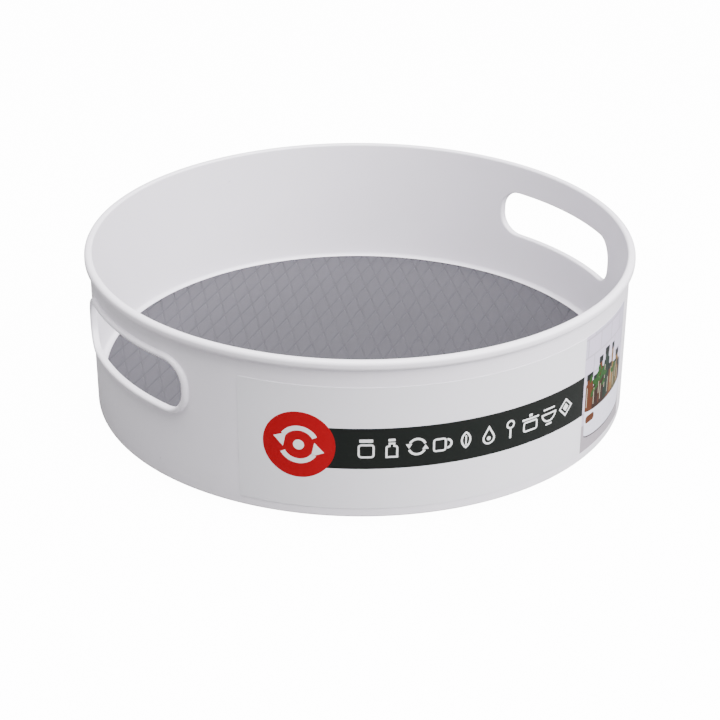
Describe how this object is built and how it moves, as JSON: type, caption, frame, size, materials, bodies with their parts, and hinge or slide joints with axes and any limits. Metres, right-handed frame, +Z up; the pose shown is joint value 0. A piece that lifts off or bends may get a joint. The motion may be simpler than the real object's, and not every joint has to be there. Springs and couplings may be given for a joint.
{
  "type": "lazy susan turntable",
  "caption": "Round walled turntable tray with two hand slots and a soft diamond-pattern mat, turning on a ring of balls over a low base with rubber feet.",
  "frame": {"origin": "on the table, on the axis that the tray turns about, level with the undersides of the feet", "axes": "+Z up along the turning axis; +X through the middle of one hand slot, with the other hand slot at -X; the label faces -Y"},
  "size_m": [0.28, 0.28, 0.086],
  "materials": {
    "tray": "moulded polypropylene, fine satin",
    "mat": "soft grey thermoplastic rubber, matt, diamond pattern",
    "label": null,
    "base": "moulded polypropylene, satin",
    "cage": "natural nylon",
    "steel": "bright zinc-plated steel",
    "ball_steel": "ground and polished steel",
    "foot": "matt grey rubber"
  },
  "bodies": {
    "base": {"base": "base", "foot_01": "foot", "foot_02": "foot", "foot_03": "foot", "foot_04": "foot", "foot_05": "foot", "foot_06": "foot"},
    "tray": {"tray": "tray", "mat": "mat", "label": "label", "centre_screw": "steel", "retaining_washer": "steel"},
    "cage": {"ball_cage": "cage"},
    "ball_01": {"ball_01": "ball_steel"},
    "ball_02": {"ball_02": "ball_steel"},
    "ball_03": {"ball_03": "ball_steel"},
    "ball_04": {"ball_04": "ball_steel"},
    "ball_05": {"ball_05": "ball_steel"},
    "ball_06": {"ball_06": "ball_steel"},
    "ball_07": {"ball_07": "ball_steel"},
    "ball_08": {"ball_08": "ball_steel"},
    "ball_09": {"ball_09": "ball_steel"},
    "ball_10": {"ball_10": "ball_steel"},
    "ball_11": {"ball_11": "ball_steel"},
    "ball_12": {"ball_12": "ball_steel"},
    "ball_13": {"ball_13": "ball_steel"},
    "ball_14": {"ball_14": "ball_steel"},
    "ball_15": {"ball_15": "ball_steel"},
    "ball_16": {"ball_16": "ball_steel"}
  },
  "joints": [
    {"name": "tray_spin", "type": "hinge", "parent": "base", "child": "tray", "pos_m": [0, 0, 0.0095], "axis": [0, 0, 1], "continuous": true},
    {"name": "cage_orbit", "type": "hinge", "parent": "base", "child": "cage", "pos_m": [0, 0, 0.01016], "axis": [0, 0, 1], "continuous": true},
    {"name": "ball_01_roll", "type": "hinge", "parent": "cage", "child": "ball_01", "pos_m": [0.066, 0, 0.01016], "axis": [1, 0, 0], "continuous": true},
    {"name": "ball_02_roll", "type": "hinge", "parent": "cage", "child": "ball_02", "pos_m": [0.06098, 0.02526, 0.01016], "axis": [0.9239, 0.3827, 0], "continuous": true},
    {"name": "ball_03_roll", "type": "hinge", "parent": "cage", "child": "ball_03", "pos_m": [0.04667, 0.04667, 0.01016], "axis": [0.7071, 0.7071, 0], "continuous": true},
    {"name": "ball_04_roll", "type": "hinge", "parent": "cage", "child": "ball_04", "pos_m": [0.02526, 0.06098, 0.01016], "axis": [0.3827, 0.9239, 0], "continuous": true},
    {"name": "ball_05_roll", "type": "hinge", "parent": "cage", "child": "ball_05", "pos_m": [0, 0.066, 0.01016], "axis": [0, 1, 0], "continuous": true},
    {"name": "ball_06_roll", "type": "hinge", "parent": "cage", "child": "ball_06", "pos_m": [-0.02526, 0.06098, 0.01016], "axis": [-0.3827, 0.9239, 0], "continuous": true},
    {"name": "ball_07_roll", "type": "hinge", "parent": "cage", "child": "ball_07", "pos_m": [-0.04667, 0.04667, 0.01016], "axis": [-0.7071, 0.7071, 0], "continuous": true},
    {"name": "ball_08_roll", "type": "hinge", "parent": "cage", "child": "ball_08", "pos_m": [-0.06098, 0.02526, 0.01016], "axis": [-0.9239, 0.3827, 0], "continuous": true},
    {"name": "ball_09_roll", "type": "hinge", "parent": "cage", "child": "ball_09", "pos_m": [-0.066, 0, 0.01016], "axis": [-1, 0, 0], "continuous": true},
    {"name": "ball_10_roll", "type": "hinge", "parent": "cage", "child": "ball_10", "pos_m": [-0.06098, -0.02526, 0.01016], "axis": [-0.9239, -0.3827, 0], "continuous": true},
    {"name": "ball_11_roll", "type": "hinge", "parent": "cage", "child": "ball_11", "pos_m": [-0.04667, -0.04667, 0.01016], "axis": [-0.7071, -0.7071, 0], "continuous": true},
    {"name": "ball_12_roll", "type": "hinge", "parent": "cage", "child": "ball_12", "pos_m": [-0.02526, -0.06098, 0.01016], "axis": [-0.3827, -0.9239, 0], "continuous": true},
    {"name": "ball_13_roll", "type": "hinge", "parent": "cage", "child": "ball_13", "pos_m": [0, -0.066, 0.01016], "axis": [0, -1, 0], "continuous": true},
    {"name": "ball_14_roll", "type": "hinge", "parent": "cage", "child": "ball_14", "pos_m": [0.02526, -0.06098, 0.01016], "axis": [0.3827, -0.9239, 0], "continuous": true},
    {"name": "ball_15_roll", "type": "hinge", "parent": "cage", "child": "ball_15", "pos_m": [0.04667, -0.04667, 0.01016], "axis": [0.7071, -0.7071, 0], "continuous": true},
    {"name": "ball_16_roll", "type": "hinge", "parent": "cage", "child": "ball_16", "pos_m": [0.06098, -0.02526, 0.01016], "axis": [0.9239, -0.3827, 0], "continuous": true}
  ],
  "couplings": [
    {"joint": "cage_orbit", "follows": "tray_spin", "ratio": 0.5},
    {"joint": "ball_01_roll", "follows": "tray_spin", "ratio": -11},
    {"joint": "ball_02_roll", "follows": "tray_spin", "ratio": -11},
    {"joint": "ball_03_roll", "follows": "tray_spin", "ratio": -11},
    {"joint": "ball_04_roll", "follows": "tray_spin", "ratio": -11},
    {"joint": "ball_05_roll", "follows": "tray_spin", "ratio": -11},
    {"joint": "ball_06_roll", "follows": "tray_spin", "ratio": -11},
    {"joint": "ball_07_roll", "follows": "tray_spin", "ratio": -11},
    {"joint": "ball_08_roll", "follows": "tray_spin", "ratio": -11},
    {"joint": "ball_09_roll", "follows": "tray_spin", "ratio": -11},
    {"joint": "ball_10_roll", "follows": "tray_spin", "ratio": -11},
    {"joint": "ball_11_roll", "follows": "tray_spin", "ratio": -11},
    {"joint": "ball_12_roll", "follows": "tray_spin", "ratio": -11},
    {"joint": "ball_13_roll", "follows": "tray_spin", "ratio": -11},
    {"joint": "ball_14_roll", "follows": "tray_spin", "ratio": -11},
    {"joint": "ball_15_roll", "follows": "tray_spin", "ratio": -11},
    {"joint": "ball_16_roll", "follows": "tray_spin", "ratio": -11}
  ]
}
